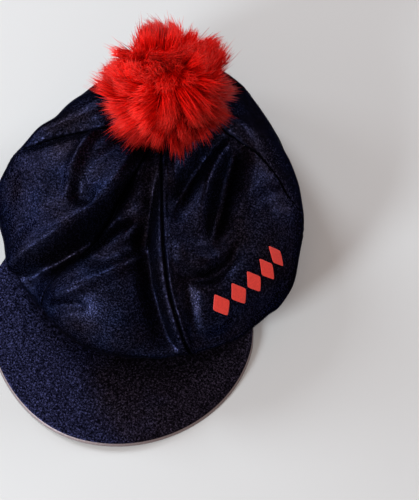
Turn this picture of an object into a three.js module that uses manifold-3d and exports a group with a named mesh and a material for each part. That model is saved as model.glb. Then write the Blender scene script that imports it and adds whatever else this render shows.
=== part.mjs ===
// Jockey cap: a soft six-panel cap cover with a peak and a fur pompom, lying on a table.
// Millimetres, +Z up, the peak towards -Y, the opening for the head facing down.
import * as THREE from 'three';
import { mergeVertices } from 'three/addons/utils/BufferGeometryUtils.js';
import Module from 'manifold-3d';

// Driving dimensions of the crown
const crownHalfWidth = 118;
const crownLength = 250;
const crownHeight = 92;
const clothWall = 1.5;
const seamGap = 0.3;
const crownRows = 22;
// How far each quarter of a loop of cloth, seen from above, is drawn in from a plain ellipse
const frontLeftDraw = 0.52;
const frontRightDraw = 0.25;
const backLeftDraw = 0.62;
const backRightDraw = 0.18;
// The drawing in fades away between these shares of the way up, to a round hole at the apex
const drawFadeFrom = 0.70;
const drawFadeTo = 0.94;
// The cloth stops short of the apex and leaves a round hole for the stud
const apexStopShare = 0.974;

// Driving dimensions of the hem
const hemHeight = 11.6;
const hemWall = 2.4;
const hemInset = 0.6;
const hemSegments = 96;
const gatherCount = 24;
const gatherDepth = 1.5;
// The elastic gathers the hem behind the ends of the peak only
const gatherStartAngle = 58;
const gatherFullAngle = 88;

// Driving dimensions of the peak
const peakDepth = 74;
const peakThickness = 3.4;
const peakEndAngle = 72;
const peakFanShare = 0.615;
const peakInnerHeight = 5.6;
const peakFrontHeight = 3.2;
const peakArch = 3.0;
const peakWave = 0.8;
const peakWaveTurns = 7;
const peakRoundedShare = 0.1;
const peakThinnedShare = 0.8;
const peakRows = 5;

// Driving dimensions of the pompom and its stud
const pompomRadius = 36;
const pompomRise = 38;
const pompomLeanX = 2;
const pompomLeanY = 1;
// The core is cut flat where it sits on the crown, this share of its rise below its middle
const pompomSeatShare = 0.9;
const lockCount = 60;
const lockSides = 5;
const lockTopReach = 5;
const lockSideReach = 10;
const lockReachSpread = 3.5;
const lockReachTurn = 1.7;
const lockRadius = 11;
const lockRoot = 12;
const lockSwirl = 7;
const lockDroop = 6;
// A lock that points straight up droops this much as far as one that points sideways,
// and below the pompom's middle the droop dies away at this rate, because the cloth holds the fur up
const lockTopDroopShare = 0.4;
const lockLowDroopRate = 2;
const lockHighestAngle = 8;
const lockLowestAngle = 128;
const studPostRadius = 4.6;
const studFlangeRadius = 8;
const studFlangeHeight = 1;

// Driving dimensions of the row of lozenges on the front right panel
const markCount = 5;
const markWidth = 12.5;
const markHeight = 21;
const markThickness = 0.6;
const markPitch = 14;
const markCells = 3;
const markCentreAngle = 57;
const markCentreUpShare = 0.425;
const markTurn = 9;

// One clearance for all pieces that lie on each other
const clearance = 0.3;
// The lozenges lie on the true curve of the cloth, and the facets below them stay this far off
const markClearance = 0.55;

// A table is a list of rows under named columns
function table(columns, rows) {
  return rows.map((row) => Object.fromEntries(columns.map((column, i) => [column, row[i]])));
}

// Loops of cloth from the hem to the apex: share of the way up, shares of the crown's length
// in front, beside and behind, shares of its height above the hem there, and shares of its half width
const sections = table(
  ['up', 'frontY', 'sideY', 'backY', 'frontZ', 'sideZ', 'backZ', 'left', 'right'],
  [
    [0.00,  0.035, 0.30, 0.600, 0.000, 0.000,  0.000, 0.850, 0.880],
    [0.03,  0.020, 0.31, 0.640, 0.025, 0.021, -0.007, 0.876, 0.925],
    [0.10, -0.016, 0.33, 0.760, 0.138, 0.115, -0.184, 0.920, 1.020],
    [0.24, -0.026, 0.37, 0.950, 0.391, 0.287, -0.023, 0.960, 1.050],
    [0.40,  0.040, 0.43, 0.990, 0.678, 0.563,  0.207, 0.925, 1.000],
    [0.58,  0.170, 0.51, 0.955, 0.885, 0.805,  0.494, 0.770, 0.820],
    [0.76,  0.370, 0.60, 0.890, 0.989, 0.954,  0.770, 0.500, 0.540],
    [0.90,  0.550, 0.67, 0.790, 0.983, 0.977,  0.920, 0.230, 0.250],
    [0.96,  0.665, 0.70, 0.735, 0.956, 0.956,  0.956, 0.074, 0.074],
    [1.00,  0.700, 0.70, 0.700, 0.954, 0.954,  0.954, 0.000, 0.000],
  ],
);

// Panels between neighbouring seams, each named after the panel on its right-hand side:
// the seam's angle from the front at the hem, half way up and at the apex, and the panel's columns
const panels = table(
  ['name', 'atHem', 'atHalf', 'atApex', 'columns'],
  [
    ['panel_front', -31, -24, 2, 15],
    ['panel_front_right', 36, 23, 13, 13],
    ['panel_back_right', 97, 103, 107, 8],
    ['panel_back', 152, 154, 156, 7],
    ['panel_back_left', 208, 208, 206, 8],
    ['panel_front_left', 250, 264, 304, 14],
  ],
);

// Folds of the slack cloth seen from above: where each starts and ends as shares of the crown's half
// width and length, its sideways bow as a share of its run, its rise as a share of the crown's height,
// with valleys below zero, its width as a share of the crown's half width, and how much wider it is
// on the left of its run than on the right
const folds = table(
  ['name', 'fromX', 'fromY', 'toX', 'toY', 'bow', 'rise', 'width', 'skew'],
  [
    ['left seam tuck', -0.36, 0.60, -0.85, 0.49, -0.01, -0.075, 0.055, 0],
    ['left upright ridge', -0.37, 0.60, -0.40, 0.33, -0.08, 0.060, 0.045, 0],
    ['left dimple', -0.42, 0.37, -0.24, 0.35, 0, -0.075, 0.060, 0],
    ['left long ridge', -0.78, 0.14, -0.02, 0.51, -0.10, 0.120, 0.095, 0.4],
    ['left long valley', -0.66, 0.11, -0.02, 0.45, -0.13, -0.190, 0.085, -0.3],
    ['front soft ridge', -0.40, 0.07, 0.12, 0.23, -0.07, 0.050, 0.045, 0],
    ['front soft valley', -0.22, 0.17, 0.14, 0.33, -0.10, -0.075, 0.065, 0],
    ['front upper ridge', -0.15, 0.35, 0.07, 0.41, 0, 0.045, 0.060, 0],
    ['front small valley', -0.38, 0.05, -0.13, 0.06, 0, -0.040, 0.035, 0],
    ['seam valley', 0.06, 0.50, 0.56, -0.05, -0.10, -0.180, 0.085, -0.45],
    ['right wedge', 0.44, 0.69, 0.24, 0.37, -0.05, -0.140, 0.068, 0],
    ['right ridge', 0.45, 0.67, 0.46, 0.34, -0.09, 0.060, 0.050, 0],
    ['right long wedge', 0.50, 0.67, 0.54, 0.31, 0, -0.150, 0.075, 0],
    ['right patch', 0.30, 0.27, 0.58, 0.27, 0, 0.055, 0.065, 0],
    ['right smile', 0.42, 0.20, 0.70, 0.36, -0.20, -0.085, 0.048, 0.2],
    ['right shade', 0.68, 0.37, 0.94, 0.58, 0.13, -0.035, 0.076, 0],
    ['hem pleat', 0.43, 0.21, 0.57, 0.06, 0, -0.050, 0.045, 0],
    ['hem crumple', 0.56, 0.06, 0.80, 0.17, -0.10, -0.050, 0.045, 0],
  ],
);

// Outline of one lock of fur: shares of its length and of its radius
const lockOutline = table(
  ['along', 'radius'],
  [
    [0.00, 0.00],
    [0.00, 1.00],
    [0.60, 0.74],
    [1.00, 0.00],
  ],
);

// Where a fold fades in and out along its run, and where it fades on cloth that turns away from above
const foldFadeOutShare = -0.12;
const foldFadeInShare = 0.25;
const foldSteepShare = 0.05;
const foldLevelShare = 0.45;
// The gathers of the hem die away this far up the cloth
const gatherFadeShare = 0.22;

const radians = THREE.MathUtils.degToRad;
const smooth = THREE.MathUtils.smoothstep;
const mix = THREE.MathUtils.lerp;
// A small step in angle or share of the way up, for slopes
const slopeStep = 1e-3;

// Smooth curve through the rows of a table at unevenly spaced stations
function curveThrough(stations, values) {
  const last = stations.length - 1;
  const slopes = values.map((value, i) => {
    const before = Math.max(i - 1, 0);
    const after = Math.min(i + 1, last);
    return (values[after] - values[before]) / (stations[after] - stations[before]);
  });
  return (at) => {
    let i = 0;
    while (i < last - 1 && at > stations[i + 1]) {
      i += 1;
    }
    const span = stations[i + 1] - stations[i];
    const s = (at - stations[i]) / span;
    const r = 1 - s;
    return values[i] * (1 + 2 * s) * r * r + values[i + 1] * s * s * (3 - 2 * s)
      + slopes[i] * span * s * r * r - slopes[i + 1] * span * s * s * r;
  };
}

const stations = sections.map((row) => row.up);
const loop = {};
for (const column of ['frontY', 'sideY', 'backY', 'frontZ', 'sideZ', 'backZ', 'left', 'right']) {
  loop[column] = curveThrough(stations, sections.map((row) => row[column]));
}

// The cloth starts just above the hem
const edgeHeight = hemHeight + clearance;

// The cloth without folds, at an angle from the front and a share of the way from hem to apex
function plainCrown(angle, up) {
  const across = Math.sin(angle);
  const along = Math.cos(angle);
  const leftDraw = along > 0 ? frontLeftDraw : backLeftDraw;
  const rightDraw = along > 0 ? frontRightDraw : backRightDraw;
  const draw = (across > 0 ? rightDraw : leftDraw) * (1 - smooth(up, drawFadeFrom, drawFadeTo));
  const reach = Math.abs(along) * (1 - draw * across * across);
  const endY = along > 0 ? loop.frontY(up) : loop.backY(up);
  const endZ = along > 0 ? loop.frontZ(up) : loop.backZ(up);
  const half = across > 0 ? loop.right(up) : loop.left(up);
  return new THREE.Vector3(
    half * across * crownHalfWidth,
    mix(loop.sideY(up), endY, reach) * crownLength,
    mix(edgeHeight, crownHeight, mix(loop.sideZ(up), endZ, along * along)),
  );
}

// Outward normal of any surface given by an angle and a share of the way up
function normalOf(surface, angle, up) {
  const around = surface(angle + slopeStep, up).sub(surface(angle - slopeStep, up));
  const upward = surface(angle, up + slopeStep).sub(surface(angle, up - slopeStep));
  return around.cross(upward).normalize();
}

// Height of all folds over a place seen from above
function foldRise(x, y) {
  let rise = 0;
  for (const fold of folds) {
    const start = new THREE.Vector2(fold.fromX * crownHalfWidth, fold.fromY * crownLength);
    const run = new THREE.Vector2(fold.toX * crownHalfWidth, fold.toY * crownLength).sub(start);
    const length = run.length();
    const place = new THREE.Vector2(x, y).sub(start);
    const t = place.dot(run) / (length * length);
    const inside = THREE.MathUtils.clamp(t, 0, 1);
    const aside = run.cross(place) / length - fold.bow * length * 4 * inside * (1 - inside);
    const fadeIn = smooth(t, foldFadeOutShare, foldFadeInShare);
    const fadeOut = smooth(1 - t, foldFadeOutShare, foldFadeInShare);
    const sidedWidth = fold.width * (aside < 0 ? 1 - fold.skew : 1 + fold.skew);
    const across = aside / (sidedWidth * crownHalfWidth);
    rise += fold.rise * crownHeight * fadeIn * fadeOut * Math.exp(-across * across);
  }
  return rise;
}

// The finished outer face of the cloth: folds on top, gathers at the hem, flat where it lies on the table
function crown(angle, up) {
  const point = plainCrown(angle, up);
  const normal = normalOf(plainCrown, angle, up);
  const lift = foldRise(point.x, point.y) * smooth(normal.z, foldSteepShare, foldLevelShare);
  point.addScaledVector(normal, lift);
  const fromFront = THREE.MathUtils.radToDeg(Math.acos(THREE.MathUtils.clamp(Math.cos(angle), -1, 1)));
  const gathered = smooth(fromFront, gatherStartAngle, gatherFullAngle);
  const fade = 1 - smooth(up, 0, gatherFadeShare);
  const gather = gatherDepth * Math.cos(angle * gatherCount) * gathered * fade;
  point.x += gather * Math.sin(angle);
  point.y -= gather * Math.cos(angle);
  point.z = Math.max(point.z, 0);
  return point;
}

const crownNormal = (angle, up) => normalOf(crown, angle, up);

// A closed solid between two grids of points, open or wrapped round along its rows
function solidBetween(top, under, wrapped = false) {
  const rows = top.length;
  const columns = top[0].length;
  const positions = [...top.flat(), ...under.flat()].flatMap((p) => [p.x, p.y, p.z]);
  const at = (i, j) => i * columns + (j % columns);
  const below = rows * columns;
  const faces = [];
  const quad = (a, b, c, d) => faces.push(a, b, c, a, c, d);
  const lastColumn = wrapped ? columns : columns - 1;
  for (let i = 0; i < rows - 1; i += 1) {
    for (let j = 0; j < lastColumn; j += 1) {
      quad(at(i, j), at(i, j + 1), at(i + 1, j + 1), at(i + 1, j));
      quad(below + at(i, j), below + at(i + 1, j), below + at(i + 1, j + 1), below + at(i, j + 1));
    }
  }
  // Facing walls of two neighbours split along the same diagonal, so that their twisted quads match
  const wall = (p, q) => quad(p, below + p, below + q, q);
  const facingWall = (p, q) => quad(below + p, below + q, q, p);
  for (let j = 0; j < lastColumn; j += 1) {
    wall(at(0, j), at(0, j + 1));
    wall(at(rows - 1, j + 1), at(rows - 1, j));
  }
  if (!wrapped) {
    for (let i = 0; i < rows - 1; i += 1) {
      wall(at(i, columns - 1), at(i + 1, columns - 1));
      facingWall(at(i + 1, 0), at(i, 0));
    }
  }
  const geometry = new THREE.BufferGeometry();
  geometry.setAttribute('position', new THREE.Float32BufferAttribute(positions, 3));
  geometry.setIndex(faces);
  return geometry;
}

// Materials, one for each finish
const navySatin = new THREE.MeshStandardMaterial({ color: 0x14182e, roughness: 0.42, metalness: 0 });
const navyPeak = new THREE.MeshStandardMaterial({ color: 0x12142a, roughness: 0.7, metalness: 0 });
const redFur = new THREE.MeshStandardMaterial({ color: 0xc4211a, roughness: 0.9, metalness: 0 });
const redMark = new THREE.MeshStandardMaterial({ color: 0xd83a2e, roughness: 0.6, metalness: 0 });
const steel = new THREE.MeshStandardMaterial({ color: 0xa8a8a8, roughness: 0.35, metalness: 1 });

const cap = new THREE.Group();

function addPiece(name, geometry, material) {
  const mesh = new THREE.Mesh(geometry, material);
  mesh.name = name;
  cap.add(mesh);
}

// Crown panels, each a shell with its edges half a seam gap off the seam lines
const seamAngle = panels.map((row) => {
  const angles = [row.atHem, row.atHalf, row.atApex];
  return curveThrough([0, 0.5, 1], angles.map(radians));
});

function panelGeometry(index) {
  const next = (index + 1) % panels.length;
  const turn = next === 0 ? 2 * Math.PI : 0;
  const columns = panels[index].columns;
  const outer = [];
  const inner = [];
  for (let i = 0; i <= crownRows; i += 1) {
    const up = (i / crownRows) * apexStopShare;
    const start = seamAngle[index](up);
    const end = seamAngle[next](up) + turn;
    const edge = (angle) => {
      const after = crown(angle + slopeStep, up);
      const before = crown(angle - slopeStep, up);
      return (seamGap * slopeStep) / after.distanceTo(before);
    };
    const from = start + edge(start);
    const to = end - edge(end);
    const outerRow = [];
    const innerRow = [];
    for (let j = 0; j <= columns; j += 1) {
      const angle = mix(from, to, j / columns);
      const point = crown(angle, up);
      outerRow.push(point);
      innerRow.push(point.clone().addScaledVector(crownNormal(angle, up), -clothWall));
    }
    outer.push(outerRow);
    inner.push(innerRow);
  }
  return solidBetween(outer, inner);
}

panels.forEach((row, index) => addPiece(row.name, panelGeometry(index), navySatin));

// Elastic hem: a gathered band that stands on the table below the edge of the cloth
function hemLine(angle, inset) {
  const edge = crown(angle, 0);
  const tangent = crown(angle + slopeStep, 0).sub(crown(angle - slopeStep, 0)).setZ(0).normalize();
  return new THREE.Vector2(edge.x - tangent.y * inset, edge.y + tangent.x * inset);
}

function hemGeometry() {
  const outer = [[], []];
  const inner = [[], []];
  for (let j = 0; j < hemSegments; j += 1) {
    const angle = (j / hemSegments) * 2 * Math.PI;
    const outside = hemLine(angle, hemInset);
    const inside = hemLine(angle, hemInset + hemWall);
    [0, hemHeight].forEach((z, i) => {
      outer[i].push(new THREE.Vector3(outside.x, outside.y, z));
      inner[i].push(new THREE.Vector3(inside.x, inside.y, z));
    });
  }
  return solidBetween(outer, inner, true);
}

addPiece('elastic_hem', hemGeometry(), navySatin);

// Peak: a stiffened crescent whose inner edge follows the hem and whose outer edge is rounded
function peakGeometry() {
  const hemStep = 360 / hemSegments;
  const columnsEachSide = Math.floor(peakEndAngle / hemStep);
  const top = [];
  const under = [];
  for (let i = 0; i <= peakRows; i += 1) {
    const out = 1 - i / peakRows;
    const topRow = [];
    const underRow = [];
    for (let j = -columnsEachSide; j <= columnsEachSide; j += 1) {
      const share = (j * hemStep) / peakEndAngle;
      const angle = radians(j * hemStep);
      const start = hemLine(angle, hemInset - clearance);
      const depth = peakDepth * (1 - share * share) * out;
      const x = start.x + depth * Math.sin(angle * peakFanShare);
      const y = start.y - depth * Math.cos(angle * peakFanShare);
      const arch = peakArch * Math.sin(Math.PI * out) * (1 - share * share);
      const wave = peakWave * Math.sin(share * peakWaveTurns + 1) * out;
      const z = mix(peakInnerHeight, peakFrontHeight, out) + arch + wave;
      const round = Math.max(0, (out - 1 + peakRoundedShare) / peakRoundedShare);
      const half = (peakThickness / 2) * Math.sqrt(1 - peakThinnedShare * round * round);
      topRow.push(new THREE.Vector3(x, y, z + half));
      underRow.push(new THREE.Vector3(x, y, Math.max(z - half, 0)));
    }
    top.push(topRow);
    under.push(underRow);
  }
  return solidBetween(top, under);
}

addPiece('peak', peakGeometry(), navyPeak);

// Stud that holds the pompom: a plain flange under the cloth and a post through its hole
const apex = plainCrown(0, 1);
const highestShare = Math.max(...sections.map((row) => row.frontZ));
const seatHeight = mix(edgeHeight, crownHeight, highestShare) + clearance;

function studGeometry() {
  const flangeTop = apex.z - clothWall - clearance;
  const flangeUnder = flangeTop - studFlangeHeight;
  const postTop = seatHeight;
  const profile = [
    new THREE.Vector2(0, flangeUnder),
    new THREE.Vector2(studFlangeRadius, flangeUnder),
    new THREE.Vector2(studFlangeRadius, flangeTop),
    new THREE.Vector2(studPostRadius, flangeTop),
    new THREE.Vector2(studPostRadius, postTop),
    new THREE.Vector2(0, postTop),
  ];
  const geometry = new THREE.LatheGeometry(profile, 24);
  geometry.rotateX(Math.PI / 2);
  geometry.translate(apex.x, apex.y, 0);
  return geometry;
}

addPiece('pompom_stud', studGeometry(), steel);

// Pompom: a core with a flat seat and locks of fur fused to it
const wasm = await Module();
wasm.setup();

function toSolid(geometry) {
  const bare = geometry.clone();
  bare.deleteAttribute('normal');
  bare.deleteAttribute('uv');
  const merged = mergeVertices(bare, 1e-4);
  return new wasm.Manifold(new wasm.Mesh({
    numProp: 3,
    vertProperties: new Float32Array(merged.attributes.position.array),
    triVerts: new Uint32Array(merged.index.array),
  }));
}

function toGeometry(solid) {
  const mesh = solid.getMesh();
  const geometry = new THREE.BufferGeometry();
  geometry.setAttribute('position', new THREE.BufferAttribute(new Float32Array(mesh.vertProperties), 3));
  geometry.setIndex(new THREE.BufferAttribute(new Uint32Array(mesh.triVerts), 1));
  return geometry;
}

const pompomCentre = new THREE.Vector3(
  apex.x + pompomLeanX,
  apex.y + pompomLeanY,
  seatHeight + clearance + pompomRise * pompomSeatShare,
);

function pompomCore() {
  const geometry = new THREE.IcosahedronGeometry(1, 3);
  geometry.scale(pompomRadius, pompomRadius, pompomRise);
  geometry.translate(pompomCentre.x, pompomCentre.y, pompomCentre.z);
  const position = geometry.attributes.position;
  for (let i = 0; i < position.count; i += 1) {
    position.setZ(i, Math.max(position.getZ(i), seatHeight + clearance));
  }
  return toSolid(geometry);
}

// One lock: a pointed tuft from inside the core outwards, swirled and drooping towards its tip
function furLock(index) {
  const goldenAngle = Math.PI * (3 - Math.sqrt(5));
  const highest = Math.cos(radians(lockHighestAngle));
  const lowest = Math.cos(radians(lockLowestAngle));
  const level = mix(highest, lowest, (index + 0.5) / lockCount);
  const ring = Math.sqrt(1 - level * level);
  const turn = index * goldenAngle;
  const direction = new THREE.Vector3(ring * Math.cos(turn), ring * Math.sin(turn), level);
  const sideways = new THREE.Vector3(-Math.sin(turn), Math.cos(turn), 0);
  const surface = pompomRadius * ring * ring + pompomRise * level * level;
  const spread = lockReachSpread * Math.sin(index * lockReachTurn);
  const reach = surface + mix(lockTopReach, lockSideReach, ring) + spread;
  const length = reach - surface + lockRoot;
  const outline = lockOutline.map((row) => new THREE.Vector2(row.radius * lockRadius, row.along * length));
  const geometry = new THREE.LatheGeometry(outline, lockSides);
  const turned = new THREE.Quaternion().setFromUnitVectors(new THREE.Vector3(0, 1, 0), direction);
  geometry.applyQuaternion(turned);
  const root = direction.clone().multiplyScalar(reach - length).add(pompomCentre);
  geometry.translate(root.x, root.y, root.z);
  const position = geometry.attributes.position;
  for (let i = 0; i < position.count; i += 1) {
    const point = new THREE.Vector3().fromBufferAttribute(position, i);
    const outward = Math.max(point.clone().sub(root).dot(direction) / length, 0);
    const lowered = level > 0 ? 1 : 1 + level * lockLowDroopRate;
    point.addScaledVector(sideways, lockSwirl * outward ** 2);
    point.z -= lockDroop * mix(lockTopDroopShare, 1, ring) * lowered * outward ** 2;
    point.z = Math.max(point.z, seatHeight + clearance);
    position.setXYZ(i, point.x, point.y, point.z);
  }
  return toSolid(geometry);
}

function pompomGeometry() {
  let solid = pompomCore();
  for (let index = 0; index < lockCount; index += 1) {
    solid = solid.add(furLock(index));
  }
  return toGeometry(solid);
}

addPiece('pompom', pompomGeometry(), redFur);

// Row of plain lozenges that follow the cloth of the front right panel
function markGeometry(offset) {
  const angle0 = radians(markCentreAngle);
  const centre = crown(angle0, markCentreUpShare);
  const around = crown(angle0 + slopeStep, markCentreUpShare).sub(centre).divideScalar(slopeStep);
  const upward = crown(angle0, markCentreUpShare + slopeStep).sub(centre).divideScalar(slopeStep);
  const turn = radians(markTurn);
  const aroundLength = around.length();
  const slant = upward.dot(around) / aroundLength;
  const rise = Math.sqrt(upward.lengthSq() - slant * slant);
  const place = (x, y, height) => {
    const level = x * Math.cos(turn) - y * Math.sin(turn);
    const raised = x * Math.sin(turn) + y * Math.cos(turn);
    const up = markCentreUpShare + raised / rise;
    const angle = angle0 + (level - (raised / rise) * slant) / aroundLength;
    return crown(angle, up).addScaledVector(crownNormal(angle, up), height);
  };
  const top = [];
  const under = [];
  for (let i = 0; i <= markCells; i += 1) {
    const topRow = [];
    const underRow = [];
    for (let j = 0; j <= markCells; j += 1) {
      const a = mix(-1, 1, j / markCells);
      const b = mix(-1, 1, i / markCells);
      const x = offset + ((a - b) / 4) * markWidth;
      const y = ((a + b) / 4) * markHeight;
      topRow.push(place(x, y, markClearance + markThickness));
      underRow.push(place(x, y, markClearance));
    }
    top.push(topRow);
    under.push(underRow);
  }
  return solidBetween(top, under);
}

for (let index = 0; index < markCount; index += 1) {
  const offset = (index - (markCount - 1) / 2) * markPitch;
  addPiece(`mark_${index + 1}`, markGeometry(offset), redMark);
}

// The origin is under the middle of the whole cap, on the table
const box = new THREE.Box3().setFromObject(cap);
const middle = box.getCenter(new THREE.Vector3());
cap.position.set(-middle.x, -middle.y, -box.min.z);
cap.updateMatrixWorld(true);

export default cap;
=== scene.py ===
"""Jockey cap: navy satin panels, a speckled peak, a gathered elastic hem and a red fur pompom."""
import math
from collections import namedtuple

import bpy
import numpy as np
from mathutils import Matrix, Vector


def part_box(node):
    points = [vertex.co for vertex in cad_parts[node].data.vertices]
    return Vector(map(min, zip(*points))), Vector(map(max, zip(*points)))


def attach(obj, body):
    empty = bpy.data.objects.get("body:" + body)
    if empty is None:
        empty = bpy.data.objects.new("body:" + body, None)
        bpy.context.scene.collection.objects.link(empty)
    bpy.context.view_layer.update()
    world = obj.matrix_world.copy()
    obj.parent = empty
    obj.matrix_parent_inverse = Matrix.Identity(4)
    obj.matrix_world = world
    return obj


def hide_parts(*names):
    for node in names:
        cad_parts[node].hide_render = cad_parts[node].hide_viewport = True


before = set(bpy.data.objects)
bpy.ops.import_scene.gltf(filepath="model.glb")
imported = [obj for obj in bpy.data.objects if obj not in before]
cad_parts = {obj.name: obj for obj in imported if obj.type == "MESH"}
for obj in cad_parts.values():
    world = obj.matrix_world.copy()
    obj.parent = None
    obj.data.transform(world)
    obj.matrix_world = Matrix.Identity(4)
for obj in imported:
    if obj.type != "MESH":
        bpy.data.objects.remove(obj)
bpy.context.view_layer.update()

# The crown's driving dimensions, in millimetres in the frame of its pattern:
# x to the right, y back from the front join, z up from the table
CROWN_HALF_WIDTH = 118
CROWN_LENGTH = 250
CROWN_HEIGHT = 92
CLOTH_WALL = 1.2
# How far the outline seen from above is drawn in from a plain ellipse, on the left and the right
FRONT_DRAW = (0.52, 0.25)
BACK_DRAW = (0.62, 0.18)
# The drawing in fades away between these shares of the way up, to a round hole at the apex
DRAW_FADE = (0.70, 0.94)
APEX_STOP = 0.974
APEX_SHARE = 0.70

HEM_HEIGHT = 11.6
HEM_WALL = 2.0
HEM_INSET = 0.6
HEM_COLUMNS, HEM_ROWS = 560, 14
# The hem bulges by its fullness, and two rows of stitching draw it in again. Where they are and
# how wide they are is given in shares of its height
HEM_FULLNESS = 0.5
STITCH_ROWS = (0.30, 0.70)
STITCH_WIDTH = 0.07
STITCH_DEPTH = 0.6

# Pleats that the elastic draws into the cloth: they start and are full at these angles from the
# front in degrees, their phase drifts on their way up, and they die away at this share of it
GATHER_COUNT = 24
GATHER_DEPTH = 1.5
GATHER_START, GATHER_FULL = 58, 88
GATHER_DRIFT = 4
GATHER_FADE = 0.22
# Waves that make their depth uneven: share of the depth, count round the hem and phase
GATHER_UNEVEN = ((0.35, 5, 1), (0.25, 9, 2))
FINE_GATHER_COUNT = 61
FINE_GATHER_DEPTH = 0.45
FINE_GATHER_FADE = 0.12

PEAK_DEPTH = 74
PEAK_THICKNESS = 3.4
PEAK_END = 72
PEAK_FAN = 0.615
PEAK_INNER_HEIGHT = 5.6
PEAK_FRONT_HEIGHT = 3.2
PEAK_ARCH = 3.0
PEAK_WAVE, PEAK_WAVE_TURNS = 0.8, 7
PEAK_COLUMNS, PEAK_ROWS = 200, 70
# The cover has these shares of the peak's angle and thickness
PEAK_COVER_SPAN = 0.99
PEAK_COVER_WALL = 0.9
PEAK_BEVEL = 0.5
# The pale lining of the underside stands out past the cover along the rim
PEAK_RIM_FROM = 0.98
PEAK_LINING_EDGE = 2.8
PEAK_CENTRE_Y = 60

MARK_COUNT = 5
MARK_WIDTH = 12.5
MARK_HEIGHT = 21
MARK_PITCH = 14
MARK_ANGLE, MARK_UP, MARK_TURN = 57, 0.425, 9
MARK_CELLS = 22
MARK_ROUNDING = 0.07
MARK_WALL = 0.4
MARK_LIFT = 0.55

POMPOM_RADIUS = 36
POMPOM_RISE = 38
POMPOM_LEAN = (2, 1)
POMPOM_SEAT = 0.9
CORE_RADIUS = 28

CLEARANCE = 0.3
EDGE_HEIGHT = HEM_HEIGHT + CLEARANCE

# Loops of cloth from the hem to the apex: share of the way up, shares of the crown's length
# in front, beside and behind, shares of its height above the hem there, and of its half width
SECTIONS = dict(zip(
    ("up", "front_y", "side_y", "back_y", "front_z", "side_z", "back_z", "left", "right"),
    np.array([
        (0.00, 0.035, 0.30, 0.600, 0.000, 0.000, 0.000, 0.850, 0.880),
        (0.03, 0.020, 0.31, 0.640, 0.025, 0.021, -0.007, 0.876, 0.925),
        (0.10, -0.016, 0.33, 0.760, 0.138, 0.115, -0.184, 0.920, 1.020),
        (0.24, -0.026, 0.37, 0.950, 0.391, 0.287, -0.023, 0.960, 1.050),
        (0.40, 0.040, 0.43, 0.990, 0.678, 0.563, 0.207, 0.925, 1.000),
        (0.58, 0.170, 0.51, 0.955, 0.885, 0.805, 0.494, 0.770, 0.820),
        (0.76, 0.370, 0.60, 0.890, 0.989, 0.954, 0.770, 0.500, 0.540),
        (0.90, 0.550, 0.67, 0.790, 0.983, 0.977, 0.920, 0.230, 0.250),
        (0.96, 0.665, 0.70, 0.735, 0.956, 0.956, 0.956, 0.074, 0.074),
        (1.00, 0.700, 0.70, 0.700, 0.954, 0.954, 0.954, 0.000, 0.000),
    ]).T,
))

# Panels between neighbouring seams, each named after the panel on its right-hand side: the seam's
# angle at the hem, half way up and at the apex, the mesh's columns and rows, and the cut's width
# and length in millimetres and its area in square centimetres
Panel = namedtuple("Panel", "name at_hem at_half at_apex columns rows width length area")
PANELS = [Panel(*row) for row in (
    ("panel_front", -31, -24, 2, 104, 190, 132, 240, 166),
    ("panel_front_right", 36, 23, 13, 112, 190, 138, 231, 219),
    ("panel_back_right", 97, 103, 107, 70, 150, 127, 196, 152),
    ("panel_back", 152, 154, 156, 64, 150, 128, 213, 187),
    ("panel_back_left", 208, 208, 206, 70, 150, 115, 178, 141),
    ("panel_front_left", 250, 264, 304, 112, 190, 132, 201, 180),
)]

# Folds seen from above: start and end as shares of the half width and length, bow as a share of
# the run, rise as a share of the height, width as a share of the half width, and how much wider
# the fold is on the left of its run than on the right
FOLDS = (
    (-0.36, 0.60, -0.85, 0.49, -0.01, -0.075, 0.055, 0.0),  # left seam tuck
    (-0.37, 0.60, -0.40, 0.33, -0.08, 0.060, 0.045, 0.0),  # left upright ridge
    (-0.42, 0.37, -0.24, 0.35, 0.00, -0.075, 0.060, 0.0),  # left dimple
    (-0.78, 0.14, -0.02, 0.51, -0.10, 0.120, 0.095, 0.4),  # left long ridge
    (-0.66, 0.11, -0.02, 0.45, -0.13, -0.190, 0.085, -0.3),  # left long valley
    (-0.40, 0.07, 0.12, 0.23, -0.07, 0.050, 0.045, 0.0),  # front soft ridge
    (-0.22, 0.17, 0.14, 0.33, -0.10, -0.075, 0.065, 0.0),  # front soft valley
    (-0.15, 0.35, 0.07, 0.41, 0.00, 0.045, 0.060, 0.0),  # front upper ridge
    (-0.38, 0.05, -0.13, 0.06, 0.00, -0.040, 0.035, 0.0),  # front small valley
    (0.06, 0.50, 0.56, -0.05, -0.10, -0.180, 0.085, -0.45),  # seam valley
    (0.44, 0.69, 0.24, 0.37, -0.05, -0.140, 0.068, 0.0),  # right wedge
    (0.45, 0.67, 0.46, 0.34, -0.09, 0.060, 0.050, 0.0),  # right ridge
    (0.50, 0.67, 0.54, 0.31, 0.00, -0.150, 0.075, 0.0),  # right long wedge
    (0.30, 0.27, 0.58, 0.27, 0.00, 0.055, 0.065, 0.0),  # right patch
    (0.42, 0.20, 0.70, 0.36, -0.20, -0.085, 0.048, 0.2),  # right smile
    (0.68, 0.37, 0.94, 0.58, 0.13, -0.035, 0.076, 0.0),  # right shade
    (0.43, 0.21, 0.57, 0.06, 0.00, -0.050, 0.045, 0.0),  # hem pleat
    (0.56, 0.06, 0.80, 0.17, -0.10, -0.050, 0.045, 0.0),  # hem crumple
)
# Where a fold fades in and out along its run, and where it fades on cloth that turns away from above
FOLD_OUT, FOLD_IN = -0.12, 0.25
FOLD_STEEP, FOLD_LEVEL = 0.05, 0.45

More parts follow.
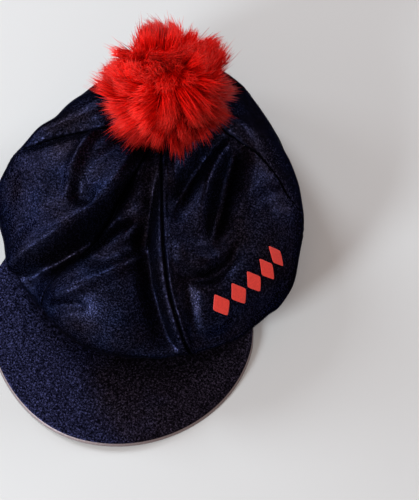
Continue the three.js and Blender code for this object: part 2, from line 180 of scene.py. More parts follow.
# Seams, in millimetres: the groove, the puckers on both sides of it and, at one seam, the allowance
# that stands proud beside it. A seam runs about so far from the hem to the apex
SEAM_RUN = 240
GROOVE_DEPTH, GROOVE_WIDTH = 1.0, 1.2
PUCKER_RISE, PUCKER_ASIDE, PUCKER_WIDTH, PUCKER_LENGTH = 0.28, 2.4, 2.6, 7.6
PROUD_SEAM = 1
PROUD_RISE, PROUD_ASIDE, PROUD_WIDTH = 2.2, 2.6, 1.7
# The allowance fades in over these shares of the way up, and out before the end by this much
PROUD_START, PROUD_END, PROUD_END_FADE = (0.10, 0.30), 0.93, 0.1
# Painted shade along the seams: the cloth is dark up to the first of these distances from a seam, and plain
# past the second
SEAM_SHADE = (0.3, 2.2)

# Fur, with its lengths in millimetres. A strand is a tube of three-sided rings that ends in a
# point. Strands gather into tufts, which reach further and droop more at the sides than on top,
# and a few are loose wisps that reach past their tuft
STRAND_COUNT = 30000
# Angles from straight up that strands and tufts are spread between, in degrees, and their jitter
STRAND_SPREAD, STRAND_JITTER = (0, 140), 0.02
TUFT_SPREAD, TUFT_JITTER = (4, 136), 0.07
STRAND_STEPS = (0.0, 0.45, 0.78, 1.0)
STRAND_RADII = (0.32, 0.30, 0.20)
STRAND_CORNERS = 3
STRAND_START = 24.0
STRAND_SHORTER = 4.0
STRAND_LEAN = 2.4
FUR_PIECES = 4
TUFT_COUNT = 170
TUFT_REACH, TUFT_SIDE_REACH, TUFT_REACH_SPREAD = 39, 7, 2.6
TUFT_SWIRL, TUFT_LEAN = 9, 1.8
TUFT_CLUMP, TUFT_CLUMP_POWER = 0.52, 1.3
WISP_SHARE, WISP_LOOSENESS, WISP_REACH = 0.06, 0.30, (1, 7)
DROOP, SIDE_DROOP, DROOP_SPREAD = 3, 7, (0.7, 1.3)
FUR_OFF_CLOTH = 0.8
# Shade of the fur, from 0, dull, to 1, bright. Painted shade makes it dullest low down on the side away
# from the key lamp
FUR_SHADE, STRAND_SHADE_SPREAD, TUFT_SHADE_SPREAD = 0.60, 0.16, 0.5
FUR_SHADED_SIDE = np.array([0.52, -0.42, -0.74])
FUR_PAINTED_SHADE = 1.15

# Tint of the navy cloths' reflections where they are seen edge on
NAVY_SHEEN = (0.04, 0.06, 0.14, 1)

# Studio: angles in degrees, distances and sizes in metres, power in watts
VIEW_AZIMUTH, VIEW_ELEVATION, VIEW_DISTANCE = 15, 68, 1.3
LENS, SENSOR = 120, 36
# Where the camera aims on the table, in millimetres from the apex
AIM = (52.7, -67.9)
FLOOR_SIZE, FLOOR_HEIGHT = 8, -0.0003
STUDIO_COLOUR = (0.30, 0.20, 0.20, 1)
# The lamps at the sides are cool and the one above is warm
COOL, WARM = (0.88, 0.96, 1.15), (1.10, 1.02, 0.92)
# Name, direction from the cap, distance, size, power and colour
LAMPS = (
    ("key", (-0.62, 0.46, 0.64), 1.6, 0.5, 12, COOL),
    ("left", (-0.94, 0.10, 0.32), 1.6, 0.6, 9, COOL),
    ("front", (-0.50, -0.78, 0.42), 1.6, 0.5, 26, COOL),
    ("back", (0.62, 0.62, 0.48), 1.6, 0.6, 10, COOL),
    ("top", (0.1, -0.2, 1.0), 2.2, 2.0, 5, WARM),
)

MM = 0.001
SLOPE_STEP = 1e-3

stud_low, stud_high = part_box("pompom_stud")
stud_middle = (stud_low + stud_high) / 2 / MM
# From the pattern's frame to the row's frame
SHIFT = np.array([stud_middle.x, stud_middle.y - APEX_SHARE * CROWN_LENGTH, 0.0])
SEAT_HEIGHT = stud_high.z / MM
POMPOM_CENTRE = np.array([
    POMPOM_LEAN[0],
    APEX_SHARE * CROWN_LENGTH + POMPOM_LEAN[1],
    SEAT_HEIGHT + CLEARANCE + POMPOM_RISE * POMPOM_SEAT,
])


# Curves

def smooth(value, low, high):
    """Smooth step from 0 at low to 1 at high."""
    t = np.clip((np.asarray(value, float) - low) / (high - low), 0, 1)
    return t * t * (3 - 2 * t)


def mix(start, end, share):
    return start + (end - start) * share


def bell(value, width):
    return np.exp(-(value / width) ** 2)


def unit(vectors):
    """Vectors scaled to a length of one."""
    return vectors / np.linalg.norm(vectors, axis=-1, keepdims=True)


def curve_through(stations, values, at):
    """Smooth curve through values at unevenly spaced stations."""
    stations, values = np.asarray(stations, float), np.asarray(values, float)
    last = len(stations) - 1
    before = np.maximum(np.arange(last + 1) - 1, 0)
    after = np.minimum(np.arange(last + 1) + 1, last)
    slopes = (values[after] - values[before]) / (stations[after] - stations[before])
    i = np.clip(np.searchsorted(stations, at, side="left") - 1, 0, last - 1)
    span = stations[i + 1] - stations[i]
    s = (at - stations[i]) / span
    r = 1 - s
    return (values[i] * (1 + 2 * s) * r * r + values[i + 1] * s * s * (3 - 2 * s)
            + slopes[i] * span * s * r * r - slopes[i + 1] * span * s * s * r)


def waves(seed, lengths, heights, per_length=5):
    """Rows of a seeded sum of sine waves in space: (wave vector, phase, height)."""
    rng = np.random.default_rng(seed)
    full_turn = 6.28
    rows = []
    for length, height in zip(lengths, heights):
        for _ in range(per_length):
            direction = rng.normal(size=3)
            direction /= np.linalg.norm(direction)
            phase = rng.uniform(0, full_turn)
            rows.append((direction * 2 * math.pi / length, phase, height / per_length ** 0.5))
    return rows


def wave_sum(rows, points):
    return sum(height * np.sin(points @ vector + phase) for vector, phase, height in rows)


# Lengths and heights of the slack cloth's waves in millimetres
SLACK = waves(3, (75, 48, 30, 19), (1.5, 0.9, 0.5, 0.22))


# The crown's surface

def loop(column, up):
    return curve_through(SECTIONS["up"], SECTIONS[column], up)


def seam_angle(index, up):
    """Angle from the front, in radians, of a panel's left-hand seam at a share of the way up."""
    panel = PANELS[index % len(PANELS)]
    turn = 2 * math.pi * (index // len(PANELS))
    angles = np.radians((panel.at_hem, panel.at_half, panel.at_apex))
    return curve_through((0, 0.5, 1), angles, up) + turn


def plain_crown(angle, up):
    """The cloth without folds, at angles from the front and shares of the way from hem to apex."""
    across, along = np.sin(angle), np.cos(angle)
    front = along > 0
    side = (across > 0).astype(int)
    full_draw = np.where(front, np.take(FRONT_DRAW, side), np.take(BACK_DRAW, side))
    draw = full_draw * (1 - smooth(up, *DRAW_FADE))
    reach = np.abs(along) * (1 - draw * across ** 2)
    end_y = np.where(front, loop("front_y", up), loop("back_y", up))
    end_z = np.where(front, loop("front_z", up), loop("back_z", up))
    half = np.where(across > 0, loop("right", up), loop("left", up))
    height = mix(loop("side_z", up), end_z, along * along)
    return np.stack([
        half * across * CROWN_HALF_WIDTH,
        mix(loop("side_y", up), end_y, reach) * CROWN_LENGTH,
        mix(EDGE_HEIGHT, CROWN_HEIGHT, height),
    ], axis=-1)


def slopes_of(surface, angle, up):
    """How a surface runs on for each radian round it and for each share of the way up."""
    around = surface(angle + SLOPE_STEP, up) - surface(angle - SLOPE_STEP, up)
    upward = surface(angle, up + SLOPE_STEP) - surface(angle, up - SLOPE_STEP)
    return around / (2 * SLOPE_STEP), upward / (2 * SLOPE_STEP)


def normal_of(surface, angle, up):
    return unit(np.cross(*slopes_of(surface, angle, up)))


def fold_rise(x, y):
    """Height of all folds over places seen from above."""
    rise = np.zeros_like(x)
    for from_x, from_y, to_x, to_y, bow, height, width, skew in FOLDS:
        start = np.array([from_x * CROWN_HALF_WIDTH, from_y * CROWN_LENGTH])
        run = np.array([to_x * CROWN_HALF_WIDTH, to_y * CROWN_LENGTH]) - start
        length = np.hypot(*run)
        place_x, place_y = x - start[0], y - start[1]
        t = (place_x * run[0] + place_y * run[1]) / length ** 2
        inside = np.clip(t, 0, 1)
        aside = (run[0] * place_y - run[1] * place_x) / length - bow * length * 4 * inside * (1 - inside)
        fade = smooth(t, FOLD_OUT, FOLD_IN) * smooth(1 - t, FOLD_OUT, FOLD_IN)
        sided = width * CROWN_HALF_WIDTH * np.where(aside < 0, 1 - skew, 1 + skew)
        rise += height * CROWN_HEIGHT * fade * np.exp(-(aside / sided) ** 2)
    return rise


def fold_lift(point, normal):
    """How far the folds lift the plain cloth: less where it turns away from above."""
    return fold_rise(point[..., 0], point[..., 1]) * smooth(normal[..., 2], FOLD_STEEP, FOLD_LEVEL)


def crown_base(angle, up):
    """The crown with its folds but without its fine relief, for measuring along the cloth."""
    point = plain_crown(angle, up)
    normal = normal_of(plain_crown, angle, up)
    return point + normal * fold_lift(point, normal)[..., None]


def seam_relief(angle, up, around_length):
    """Grooves, puckers and the proud seam allowance along all the seams."""
    relief = np.zeros_like(angle)
    along = up * SEAM_RUN
    for index in range(len(PANELS)):
        turned = angle - seam_angle(index, up)
        aside = (np.mod(turned + math.pi, 2 * math.pi) - math.pi) * around_length
        relief -= GROOVE_DEPTH * bell(aside, GROOVE_WIDTH)
        uneven = 1.3 * np.sin(along * 0.11)
        pucker = np.sin(along * 2 * math.pi / PUCKER_LENGTH + index + uneven)
        relief += PUCKER_RISE * pucker * bell(np.abs(aside) - PUCKER_ASIDE, PUCKER_WIDTH)
        if index == PROUD_SEAM:
            fade_in, fade_out = smooth(up, *PROUD_START), smooth(PROUD_END - up, 0, PROUD_END_FADE)
            relief += PROUD_RISE * bell(aside - PROUD_ASIDE, PROUD_WIDTH) * fade_in * fade_out
    return relief * smooth(up, 0.0, 0.02)


def apex_pleats(angle, up):
    """Height of the fine pleats round the apex, the narrow ones twisting on their way up."""
    fade = smooth(up, 0.66, 0.86) * smooth(APEX_STOP - up, 0, 0.05)
    wide = 0.7 * np.sin(13 * angle + 1)
    narrow = 0.5 * np.sin(22 * angle + 18 * up)
    return fade * (wide + narrow)


def gathers(angle, up):
    """Depth of the pleats that the elastic draws into the cloth behind the ends of the peak."""
    from_front = np.degrees(np.arccos(np.clip(np.cos(angle), -1, 1)))
    gathered = smooth(from_front, GATHER_START, GATHER_FULL)
    uneven = sum((share * np.sin(count * angle + phase) for share, count, phase in GATHER_UNEVEN), 1)
    drift = GATHER_DRIFT * np.sin(7 * angle) * up
    main = GATHER_DEPTH * np.cos(angle * GATHER_COUNT + drift) * uneven
    fine = FINE_GATHER_DEPTH * np.sin(angle * FINE_GATHER_COUNT + 2 * np.sin(angle * 4))
    fine *= 1 - smooth(up, 0, FINE_GATHER_FADE)
    return (main * (1 - smooth(up, 0, GATHER_FADE)) + fine) * gathered


def crown(angle, up):
    """The finished outer face of the cloth: folds, slack, seams, gathers, flat on the table."""
    point = plain_crown(angle, up)
    around, upward = slopes_of(plain_crown, angle, up)
    normal = unit(np.cross(around, upward))
    lift = fold_lift(point, normal)
    lift += wave_sum(SLACK, point) * smooth(up, 0.0, 0.1) * smooth(1 - up, 0.03, 0.15)
    lift += apex_pleats(angle, up)
    lift += seam_relief(angle, up, np.linalg.norm(around, axis=-1))
    point = point + normal * lift[..., None]
    gather = gathers(angle, up)
    point[..., 0] += gather * np.sin(angle)
    point[..., 1] -= gather * np.cos(angle)
    point[..., 2] = np.maximum(point[..., 2], 0)
    return point


def hem_line(angle, inset):
    """The hem's outline seen from above, so far inside the cloth's lower edge."""
    edge = crown(angle, np.zeros_like(angle))
    after = crown(angle + SLOPE_STEP, np.zeros_like(angle))
    before = crown(angle - SLOPE_STEP, np.zeros_like(angle))
    tangent = unit((after - before)[..., :2])
    return edge[..., 0] - tangent[..., 1] * inset, edge[..., 1] + tangent[..., 0] * inset


# Making pieces

def points_of(piece):
    """All the points of a piece's mesh, one row each, in metres."""
    flat = np.empty(len(piece.data.vertices) * 3)
    piece.data.vertices.foreach_get("co", flat)
    return flat.reshape(-1, 3)


def place_points(piece, points):
    """Puts a piece's points, in millimetres in the pattern's frame, in the row's frame."""
    piece.data.vertices.foreach_set("co", ((points + SHIFT) * MM).ravel())
    piece.data.update()


def set_attribute(piece, name, values):
    attribute = piece.data.attributes.new(name, "FLOAT", "POINT")
    attribute.data.foreach_set("value", np.asarray(values, np.float32))


def make_grid(name, columns, rows, place, **attributes):
    """A grid whose points a function of two shares, across and up, puts in place, in millimetres.

    Each attribute is a function of the same two shares.
    """
    bpy.ops.object.select_all(action="DESELECT")
    bpy.ops.mesh.primitive_grid_add(x_subdivisions=columns, y_subdivisions=rows, size=2)
    piece = bpy.context.object
    piece.name = piece.data.name = name
    across, up = ((points_of(piece)[:, :2] + 1) / 2).T
    place_points(piece, place(across, up))
    for key, value_of in attributes.items():
        set_attribute(piece, key, value_of(across, up))
    return piece


def select_only(piece):
    bpy.ops.object.select_all(action="DESELECT")
    bpy.context.view_layer.objects.active = piece
    piece.select_set(True)


def merge_doubles(piece, distance=0.00001):
    select_only(piece)
    bpy.ops.object.mode_set(mode="EDIT")
    bpy.ops.mesh.select_all(action="SELECT")
    bpy.ops.mesh.remove_doubles(threshold=distance)
    bpy.ops.object.mode_set(mode="OBJECT")


def apply_modifier(piece, kind, **settings):
    modifier = piece.modifiers.new(kind.title(), kind)
    for key, value in settings.items():
        setattr(modifier, key, value)
    select_only(piece)
    bpy.ops.object.modifier_apply(modifier=modifier.name)


def finish_piece(piece, material, slot, *nodes):
    """Gives a piece its finish and its body, and hides the nodes it stands for."""
    piece.data.shade_smooth()
    piece.data.materials.clear()
    piece.data.materials.append(material)
    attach(piece, "root")
    if nodes:
        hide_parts(*nodes)
    return piece


# Materials

def new_material(name, **values):
    """A material with its uniform values on the shader's sockets, its node tree and its shader."""
    material = bpy.data.materials.new(name)
    material.use_nodes = True
    tree = material.node_tree
    shader = tree.nodes["Principled BSDF"]
    for key, value in values.items():
        shader.inputs[key.replace("_", " ")].default_value = value
    return material, tree, shader


def add_node(tree, kind, inputs=None, **settings):
    """A shader node whose inputs are values or the sockets that feed them."""
    node = tree.nodes.new("ShaderNode" + kind)
    for key, value in settings.items():
        setattr(node, key, value)
    for key, value in (inputs or {}).items():
        if isinstance(value, bpy.types.NodeSocket):
            tree.links.new(value, node.inputs[key])
        else:
            node.inputs[key].default_value = value
    return node


def object_coordinates(tree):
    return add_node(tree, "TexCoord").outputs["Object"]


def attribute_value(tree, name):
    return add_node(tree, "Attribute", attribute_name=name).outputs["Fac"]


def noise(tree, scale, detail=4.0, roughness=0.55):
    return add_node(tree, "TexNoise", {
        "Vector": object_coordinates(tree), "Scale": scale, "Detail": detail, "Roughness": roughness,
    }).outputs["Fac"]


def ramp(tree, value, *stops):
    """A colour ramp through (position, colour) stops."""
    node = add_node(tree, "ValToRGB", {"Fac": value})
    elements = node.color_ramp.elements
    for element, (position, colour) in zip(elements, (stops[0], stops[-1])):
        element.position, element.color = position, (*colour, 1)
    for position, colour in stops[1:-1]:
        element = elements.new(position)
        element.color = (*colour, 1)
    return node.outputs["Color"]


def blend(tree, factor, first, second, kind="MIX"):
    """Two colours mixed, each a socket or a plain colour."""
    node = add_node(tree, "Mix", data_type="RGBA", blend_type=kind)
    # The node's colour sockets have the same names as its others, so they go by number
    first_socket, second_socket, result = node.inputs[6], node.inputs[7], node.outputs[2]
    for socket, value in ((node.inputs["Factor"], factor), (first_socket, first), (second_socket, second)):
        if isinstance(value, bpy.types.NodeSocket):
            tree.links.new(value, socket)
        elif isinstance(value, tuple):
            socket.default_value = (*value, 1)
        else:
            socket.default_value = value
    return result


def bump(tree, shader, *layers):
    """Stacks (height, distance in millimetres, strength) layers of bump and links the last."""
    normal = None
    for height, distance, strength in layers:
        inputs = {"Height": height, "Distance": distance * MM, "Strength": strength}
        if normal is not None:
            inputs["Normal"] = normal
        normal = add_node(tree, "Bump", inputs).outputs["Normal"]
    tree.links.new(normal, shader.inputs["Normal"])


def satin_material():
    """Stretch satin: near-black navy with a blue sheen and a fine knitted grain."""
    material, tree, shader = new_material(
        "satin_navy", Metallic=1.0, Roughness=0.48, Specular_Tint=NAVY_SHEEN)
    broad = ramp(tree, noise(tree, 22, 3),
                 (0.35, (0.0092, 0.0080, 0.0132)), (0.65, (0.0084, 0.0110, 0.0272)))
    grain = ramp(tree, noise(tree, 820, 2, 0.8),
                 (0.41, (0.22, 0.20, 0.20)), (0.55, (1.0, 1.0, 1.0)), (0.68, (4.6, 4.3, 4.0)))
    colour = blend(tree, 1.0, broad, grain, "MULTIPLY")
    # Painted shade along the seams, darkest at the seam line
    colour = blend(tree, attribute_value(tree, "seam"), colour, (0.0015, 0.0015, 0.003))
    tree.links.new(colour, shader.inputs["Base Color"])
    bump(tree, shader, (noise(tree, 900, 2, 0.8), 0.20, 0.6), (noise(tree, 200, 3), 0.04, 0.5))
    return material


def peak_material():
    """Matte speckled cloth, bluer at the front left by a painted sheen, with the pale lining of the
    underside.
    """
    material, tree, shader = new_material(
        "peak_navy", Metallic=1.0, Roughness=0.6, Specular_Tint=NAVY_SHEEN)
    # Painted sheen: brighter blue towards the front left, mixed half and half with a random tone
    to_back_right = add_node(tree, "VectorMath", {
        0: object_coordinates(tree), 1: (0.7, 0.7, 0),
    }, operation="DOT_PRODUCT").outputs["Value"]
    across = add_node(tree, "MapRange", {"Value": to_back_right, "From Min": -0.15, "From Max": 0.01})
    tone_and_painted_sheen = blend(tree, 0.5, noise(tree, 16, 3), across.outputs["Result"])
    broad = ramp(tree, tone_and_painted_sheen, (0.38, (0.0125, 0.0135, 0.0320)), (0.52, (0.0125, 0.0100, 0.0155)))
    grain = ramp(tree, noise(tree, 700, 2, 0.8),
                 (0.40, (0.15, 0.15, 0.15)), (0.55, (1.0, 1.0, 1.0)), (0.68, (4.5, 4.5, 4.5)))
    colour = blend(tree, 1.0, broad, grain, "MULTIPLY")
    lining = ramp(tree, attribute_value(tree, "lining"), (0.30, (0, 0, 0)), (0.40, (1, 1, 1)))
    colour = blend(tree, lining, colour, (0.30, 0.245, 0.225))
    tree.links.new(colour, shader.inputs["Base Color"])
    bump(tree, shader, (noise(tree, 480, 2, 0.8), 0.45, 0.8))
    return material


def fur_material():
    """Faux fur: dark roots, bright red lengths and tips made paler by a painted highlight, as of light from
    behind.
    """
    material, tree, shader = new_material(
        "fur_red", Roughness=0.5, Specular_IOR_Level=0.2, Specular_Tint=(1.0, 0.25, 0.2, 1))
    # The paler tips are a painted highlight
    length = ramp(tree, attribute_value(tree, "along"),
                  (0.0, (0.42, 0.001, 0.0)), (0.4, (0.78, 0.004, 0.001)),
                  (0.8, (0.76, 0.008, 0.004)), (1.0, (0.85, 0.04, 0.025)))
    # The shade attribute holds random tone and painted shade low down on one side
    tone = ramp(tree, attribute_value(tree, "shade"),
                (0.0, (0.45, 0.40, 0.40)), (0.5, (0.95, 0.95, 0.95)), (1.0, (1.25, 1.3, 1.3)))
    colour = blend(tree, 1.0, length, tone, "MULTIPLY")
    tree.links.new(colour, shader.inputs["Base Color"])
    bump(tree, shader, (noise(tree, 900, 2), 0.05, 0.3))
    return material


def fur_base_material():
    """The matted base under the strands."""
    material, tree, shader = new_material("fur_base_red", Roughness=1.0, Specular_IOR_Level=0.0)
    colour = ramp(tree, noise(tree, 160, 3), (0.3, (0.40, 0.002, 0.001)), (0.7, (0.62, 0.005, 0.003)))
    tree.links.new(colour, shader.inputs["Base Color"])
    bump(tree, shader, (noise(tree, 260, 4), 1.0, 0.6))
    return material


def film_material():
    """Matte heat-pressed film that takes the cloth's grain."""
    material, tree, shader = new_material("film_red", Roughness=0.55, Specular_IOR_Level=0.4)
    colour = ramp(tree, noise(tree, 700, 3, 0.7), (0.3, (0.60, 0.034, 0.020)), (0.7, (0.78, 0.050, 0.030)))
    tree.links.new(colour, shader.inputs["Base Color"])
    bump(tree, shader, (noise(tree, 1300, 2), 0.08, 0.5))
    return material


def steel_material():
    """Plain turned steel, slightly dulled."""
    material, tree, shader = new_material("steel", Metallic=1.0)
    dull = noise(tree, 300, 3)
    colour = ramp(tree, dull, (0.3, (0.42, 0.42, 0.43)), (0.7, (0.56, 0.56, 0.57)))
    tree.links.new(colour, shader.inputs["Base Color"])
    rough = add_node(tree, "MapRange", {"Value": dull, "To Min": 0.28, "To Max": 0.45})
    tree.links.new(rough.outputs["Result"], shader.inputs["Roughness"])
    return material


satin = satin_material()
peak_cloth = peak_material()
fur = fur_material()
fur_base = fur_base_material()
film = film_material()
steel = steel_material()


# Crown panels

def spread_to_edges(share, strength=0.55):
    """Columns that stand closer together near both seams."""
    return share - strength * np.sin(2 * math.pi * share) / (2 * math.pi)


def make_panel(index):
    """One panel of the crown, a wall of cloth between two seams with half a gap at each."""
    panel = PANELS[index]

    def angles(across, up):
        """The panel's own angle at each point, and the crown's length per radian there."""
        angle = mix(seam_angle(index, up), seam_angle(index + 1, up), spread_to_edges(across))
        around, _ = slopes_of(plain_crown, angle, up)
        return angle, np.linalg.norm(around, axis=-1)

    def place(across, upward):
        up = upward * APEX_STOP
        angle, per_radian = angles(across, up)
        return crown(angle + CLEARANCE / 2 / per_radian * (1 - 2 * across), up)

    def seam_shade(across, upward):
        up = upward * APEX_STOP
        angle, per_radian = angles(across, up)
        to_seam = np.minimum(angle - seam_angle(index, up), seam_angle(index + 1, up) - angle)
        return 1 - smooth(to_seam * per_radian, *SEAM_SHADE)

    piece = make_grid(panel.name + "_cloth", panel.columns, panel.rows, place, seam=seam_shade)
    apply_modifier(piece, "SOLIDIFY", thickness=CLOTH_WALL * MM, offset=-1)
    return finish_piece(piece, satin, "satin_cloth", panel.name)


panel_pieces = [make_panel(index) for index in range(len(PANELS))]


# Elastic hem

def make_hem():
    def place(around, upward):
        angle = around * 2 * math.pi
        stitches = sum(bell(upward - row, STITCH_WIDTH) for row in STITCH_ROWS)
        fullness = HEM_FULLNESS * np.sin(math.pi * upward) - STITCH_DEPTH * stitches
        x, y = hem_line(angle, HEM_INSET - fullness)
        return np.stack([x, y, upward * HEM_HEIGHT], axis=-1)

    piece = make_grid("elastic_hem_cloth", HEM_COLUMNS, HEM_ROWS, place)
    merge_doubles(piece)
    apply_modifier(piece, "SOLIDIFY", thickness=HEM_WALL * MM, offset=-1)
    return finish_piece(piece, satin, "satin_cloth", "elastic_hem")


hem = make_hem()


# Peak

def edge_with_lining(piece, top_count):
    """Marks the peak's underside as lining and lets it stand out past the cover along the rim."""
    rim = np.empty(len(piece.data.vertices))
    piece.data.attributes["rim"].data.foreach_get("value", rim)
    points = points_of(piece) / MM - SHIFT
    first_is_top = points[:top_count, 2].mean() > points[top_count:, 2].mean()
    under = (np.arange(len(points)) >= top_count) == first_is_top
    outward = unit(points[:, :2] - (0, PEAK_CENTRE_Y))
    points[:, :2] += outward * (PEAK_LINING_EDGE * rim * under)[:, None]
    place_points(piece, points)
    set_attribute(piece, "lining", under)


def make_peak():
    end = math.radians(PEAK_END) * PEAK_COVER_SPAN

    def place(across, inward):
        angle = mix(-end, end, across)
        share = np.degrees(angle) / PEAK_END
        out = 1 - inward
        x, y = hem_line(angle, HEM_INSET - CLEARANCE)
        depth = PEAK_DEPTH * (1 - share ** 2) * out
        wave = PEAK_WAVE * np.sin(share * PEAK_WAVE_TURNS + 1) * out
        z = mix(PEAK_INNER_HEIGHT, PEAK_FRONT_HEIGHT, out) + wave
        z += PEAK_ARCH * np.sin(math.pi * out) * (1 - share ** 2)
        return np.stack([x + depth * np.sin(angle * PEAK_FAN), y - depth * np.cos(angle * PEAK_FAN), z], -1)

    def rim_share(across, inward):
        return smooth(1 - inward, PEAK_RIM_FROM, 1)

    piece = make_grid("peak_cover", PEAK_COLUMNS, PEAK_ROWS, place, rim=rim_share)
    top_count = len(piece.data.vertices)
    apply_modifier(piece, "SOLIDIFY", thickness=PEAK_THICKNESS * PEAK_COVER_WALL * MM, offset=0)
    edge_with_lining(piece, top_count)
    apply_modifier(piece, "BEVEL", width=PEAK_BEVEL * MM, segments=2, limit_method="ANGLE",
                   angle_limit=math.radians(50))
    return finish_piece(piece, peak_cloth, "peak_cloth", "peak")


peak = make_peak()


# Row of plain lozenges

def make_mark(index):
    """One lozenge of film with rounded corners, which follows the cloth of its panel."""
    centre_angle = math.radians(MARK_ANGLE)
    around, upward = slopes_of(crown_base, np.array(centre_angle), np.array(MARK_UP))
    turn = math.radians(MARK_TURN)
    around_length = np.linalg.norm(around)
    slant = upward @ around / around_length
    rise = math.sqrt(upward @ upward - slant * slant)
    offset = (index - (MARK_COUNT - 1) / 2) * MARK_PITCH

    def place(first, second):
        a, b = first * 2 - 1, second * 2 - 1
        rounded = 1 - MARK_ROUNDING * (a * b) ** 6
        x = offset + (a - b) / 4 * MARK_WIDTH * rounded
        y = (a + b) / 4 * MARK_HEIGHT * rounded
        level = x * math.cos(turn) - y * math.sin(turn)
        raised = x * math.sin(turn) + y * math.cos(turn)
        up = MARK_UP + raised / rise
        angle = centre_angle + (level - raised / rise * slant) / around_length
        return crown(angle, up) + normal_of(crown, angle, up) * MARK_LIFT

    name = f"mark_{index + 1}"
    piece = make_grid(name + "_film", MARK_CELLS, MARK_CELLS, place)
    apply_modifier(piece, "SOLIDIFY", thickness=MARK_WALL * MM, offset=-1)
    return finish_piece(piece, film, "mark_film", name)


marks = [make_mark(index) for index in range(MARK_COUNT)]


# Pompom

def spread_directions(count, highest, lowest, rng, jitter):
    """Unit vectors spread evenly over a sphere between two angles from straight up."""
    top, bottom = math.cos(math.radians(highest)), math.cos(math.radians(lowest))
    level = mix(top, bottom, (np.arange(count) + 0.5) / count)
    turn = np.arange(count) * math.pi * (3 - math.sqrt(5))
    ring = np.sqrt(1 - level ** 2)
    directions = np.stack([ring * np.cos(turn), ring * np.sin(turn), level], axis=-1)
    return unit(directions + rng.normal(scale=jitter, size=directions.shape))


def cloth_height(x, y):
    """Height of the cloth under the pompom, looked up on a coarse grid seen from above."""
    columns, rows, lowest_up = 500, 160, 0.45
    cell, half = 3.0, 30
    angle, up = np.meshgrid(np.linspace(0, 2 * math.pi, columns), np.linspace(lowest_up, APEX_STOP, rows))
    cloth = crown(angle.ravel(), up.ravel())
    heights = np.full((2 * half + 1, 2 * half + 1), -1.0)

    def cell_of(px, py):
        i = np.clip(np.round((px - POMPOM_CENTRE[0]) / cell).astype(int) + half, 0, 2 * half)
        j = np.clip(np.round((py - POMPOM_CENTRE[1]) / cell).astype(int) + half, 0, 2 * half)
        return i, j

    near = np.hypot(cloth[:, 0] - POMPOM_CENTRE[0], cloth[:, 1] - POMPOM_CENTRE[1]) < cell * (half - 1)
    np.maximum.at(heights, cell_of(cloth[near, 0], cloth[near, 1]), cloth[near, 2])
    return heights[cell_of(x, y)]


def fur_paths():
    """Middle lines of all strands, (strand, step, xyz), and the shade of each strand."""
    rng = np.random.default_rng(11)
    directions = spread_directions(STRAND_COUNT, *STRAND_SPREAD, rng, STRAND_JITTER)
    tufts = spread_directions(TUFT_COUNT, *TUFT_SPREAD, rng, TUFT_JITTER)
    tuft = np.argmax(directions @ tufts.T, axis=1)
    steps = np.array(STRAND_STEPS)
    t = steps[None, :, None]

    leaning = waves(5, (1.6, 0.9), (1.0, 0.7), 3)
    swirl = np.stack([wave_sum(leaning, tufts + shift) for shift in (0, 5, 11)], axis=-1)
    swirl -= (swirl * tufts).sum(-1, keepdims=True) * tufts
    lean = swirl * TUFT_SWIRL + rng.normal(scale=TUFT_LEAN, size=tufts.shape)

    ring = np.hypot(tufts[:, 0], tufts[:, 1])
    tuft_reach = TUFT_REACH + TUFT_SIDE_REACH * ring
    tuft_reach += rng.normal(scale=TUFT_REACH_SPREAD, size=TUFT_COUNT)
    reach = tuft_reach[tuft] - np.abs(rng.normal(scale=STRAND_SHORTER, size=STRAND_COUNT))
    wisps = rng.random(STRAND_COUNT) < WISP_SHARE
    reach += wisps * rng.uniform(*WISP_REACH, STRAND_COUNT)

    clump = (TUFT_CLUMP - WISP_LOOSENESS * wisps)[:, None, None] * t ** TUFT_CLUMP_POWER
    line = unit(directions[:, None, :] * (1 - clump) + tufts[tuft][:, None, :] * clump)
    points = line * mix(STRAND_START, reach[:, None, None], t)
    strand_lean = rng.normal(scale=STRAND_LEAN, size=directions.shape)
    points += (lean[tuft] + strand_lean)[:, None, :] * t ** 2
    droop = (DROOP + SIDE_DROOP * ring[tuft]) * rng.uniform(*DROOP_SPREAD, STRAND_COUNT)
    points[..., 2] -= droop[:, None] * steps ** 2
    points += POMPOM_CENTRE
    lowest = np.maximum(cloth_height(points[..., 0], points[..., 1]), 0) + FUR_OFF_CLOTH
    points[..., 2] = np.maximum(points[..., 2], lowest)

    shade = FUR_SHADE + rng.normal(scale=STRAND_SHADE_SPREAD, size=STRAND_COUNT)
    shade += TUFT_SHADE_SPREAD * (rng.random(TUFT_COUNT)[tuft] - 0.5)
    # Painted shade on the strands that point low down, away from the key lamp
    shade -= FUR_PAINTED_SHADE * np.maximum(directions @ FUR_SHADED_SIDE, 0)
    return points, np.clip(shade, 0, 1)


def strand_points(paths):
    """Points of all strands, (strand, point, xyz): a ring at each step and a point at the tip."""
    rng = np.random.default_rng(12)
    axis = unit(paths[:, -1] - paths[:, 0])
    side = unit(np.cross(axis, rng.normal(size=axis.shape)))
    other = np.cross(axis, side)
    turns = np.arange(STRAND_CORNERS) * 2 * math.pi / STRAND_CORNERS
    offset = np.cos(turns)[:, None] * side[:, None, :] + np.sin(turns)[:, None] * other[:, None, :]
    radii = np.array(STRAND_RADII)[None, :, None, None]
    rings = paths[:, :-1, None, :] + offset[:, None] * radii
    return np.concatenate([rings.reshape(len(paths), -1, 3), paths[:, -1:]], axis=1)


def strand_faces():
    """Triangles of one strand, closed at its root and at its tip."""
    corners, rings = STRAND_CORNERS, len(STRAND_RADII)
    faces = [(2, 1, 0)]
    for ring in range(rings):
        for corner in range(corners):
            here = ring * corners + corner
            beside = ring * corners + (corner + 1) % corners
            if ring < rings - 1:
                faces += [(here, beside, beside + corners), (here, beside + corners, here + corners)]
            else:
                faces += [(here, beside, rings * corners)]
    return np.array(faces)


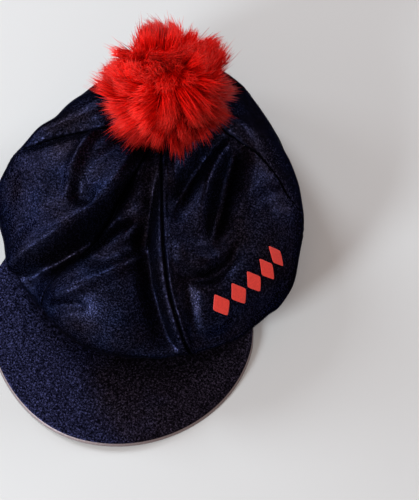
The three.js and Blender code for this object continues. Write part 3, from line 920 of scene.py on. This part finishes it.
def make_fur():
    """The strands, joined into a few pieces, with their share along and their shade."""
    paths, shade = fur_paths()
    strands = strand_points(paths)
    faces = strand_faces()
    per_strand = strands.shape[1]
    along = np.append(np.repeat(STRAND_STEPS[:-1], STRAND_CORNERS), STRAND_STEPS[-1])
    for number, share in enumerate(np.array_split(np.arange(STRAND_COUNT), FUR_PIECES)):
        vertices = ((strands[share] + SHIFT) * MM).reshape(-1, 3)
        triangles = (np.arange(len(share))[:, None, None] * per_strand + faces).reshape(-1, 3)
        mesh = bpy.data.meshes.new(f"pompom_fur_{number + 1}")
        mesh.from_pydata(vertices.tolist(), [], triangles.tolist())
        piece = bpy.data.objects.new(mesh.name, mesh)
        bpy.context.scene.collection.objects.link(piece)
        set_attribute(piece, "along", np.tile(along, len(share)))
        set_attribute(piece, "shade", np.repeat(shade[share], per_strand))
        finish_piece(piece, fur, "pompom_fur")


def make_core():
    """The dense base of the fur, which closes the view between the strands."""
    bpy.ops.object.select_all(action="DESELECT")
    bpy.ops.mesh.primitive_ico_sphere_add(subdivisions=6, radius=1)
    piece = bpy.context.object
    piece.name = piece.data.name = "pompom_core"
    ball = points_of(piece)
    fluff = wave_sum(waves(8, (0.5, 0.22, 0.12), (1.0, 0.7, 0.5)), ball)
    points = ball * (CORE_RADIUS + fluff)[:, None] * (1, 1, POMPOM_RISE / POMPOM_RADIUS) + POMPOM_CENTRE
    points[:, 2] = np.maximum(points[:, 2], SEAT_HEIGHT + CLEARANCE)
    place_points(piece, points)
    finish_piece(piece, fur_base, "pompom_fur", "pompom")


make_fur()
make_core()

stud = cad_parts["pompom_stud"]
stud.data.materials.clear()
stud.data.materials.append(steel)


# Floor, light and camera

def make_floor():
    bpy.ops.object.select_all(action="DESELECT")
    bpy.ops.mesh.primitive_plane_add(size=FLOOR_SIZE, location=(0, 0, FLOOR_HEIGHT))
    floor = bpy.context.object
    floor.name = "floor"
    paper, _, _ = new_material(
        "paper", Base_Color=(0.60, 0.61, 0.54, 1), Roughness=0.9, Specular_IOR_Level=0.1)
    floor.data.materials.append(paper)


def make_lamp(name, direction, distance, size, power, colour):
    data = bpy.data.lights.new(name, "AREA")
    data.shape, data.size, data.energy, data.color = "DISK", size, power, colour
    lamp = bpy.data.objects.new(name, data)
    bpy.context.scene.collection.objects.link(lamp)
    lamp.location = Vector(direction).normalized() * distance
    lamp.rotation_euler = Vector(direction).to_track_quat("Z", "Y").to_euler()


def make_world():
    """A dim warm studio on all sides."""
    world = bpy.data.worlds.new("studio")
    world.use_nodes = True
    world.node_tree.nodes["Background"].inputs["Color"].default_value = STUDIO_COLOUR
    bpy.context.scene.world = world


def make_camera():
    azimuth, elevation = math.radians(VIEW_AZIMUTH), math.radians(VIEW_ELEVATION)
    data = bpy.data.cameras.new("camera")
    data.sensor_width, data.sensor_fit, data.lens = SENSOR, "AUTO", LENS
    camera = bpy.data.objects.new("camera", data)
    bpy.context.scene.collection.objects.link(camera)
    back = Vector((math.sin(azimuth) * math.cos(elevation), -math.cos(azimuth) * math.cos(elevation),
                   math.sin(elevation)))
    aim = Vector((stud_middle.x + AIM[0], stud_middle.y + AIM[1], 0)) * MM
    camera.location = aim + back * VIEW_DISTANCE
    camera.rotation_euler = back.to_track_quat("Z", "Y").to_euler()
    bpy.context.scene.camera = camera


make_floor()
for lamp in LAMPS:
    make_lamp(*lamp)
make_world()
make_camera()
bpy.context.scene.view_settings.view_transform = "Standard"
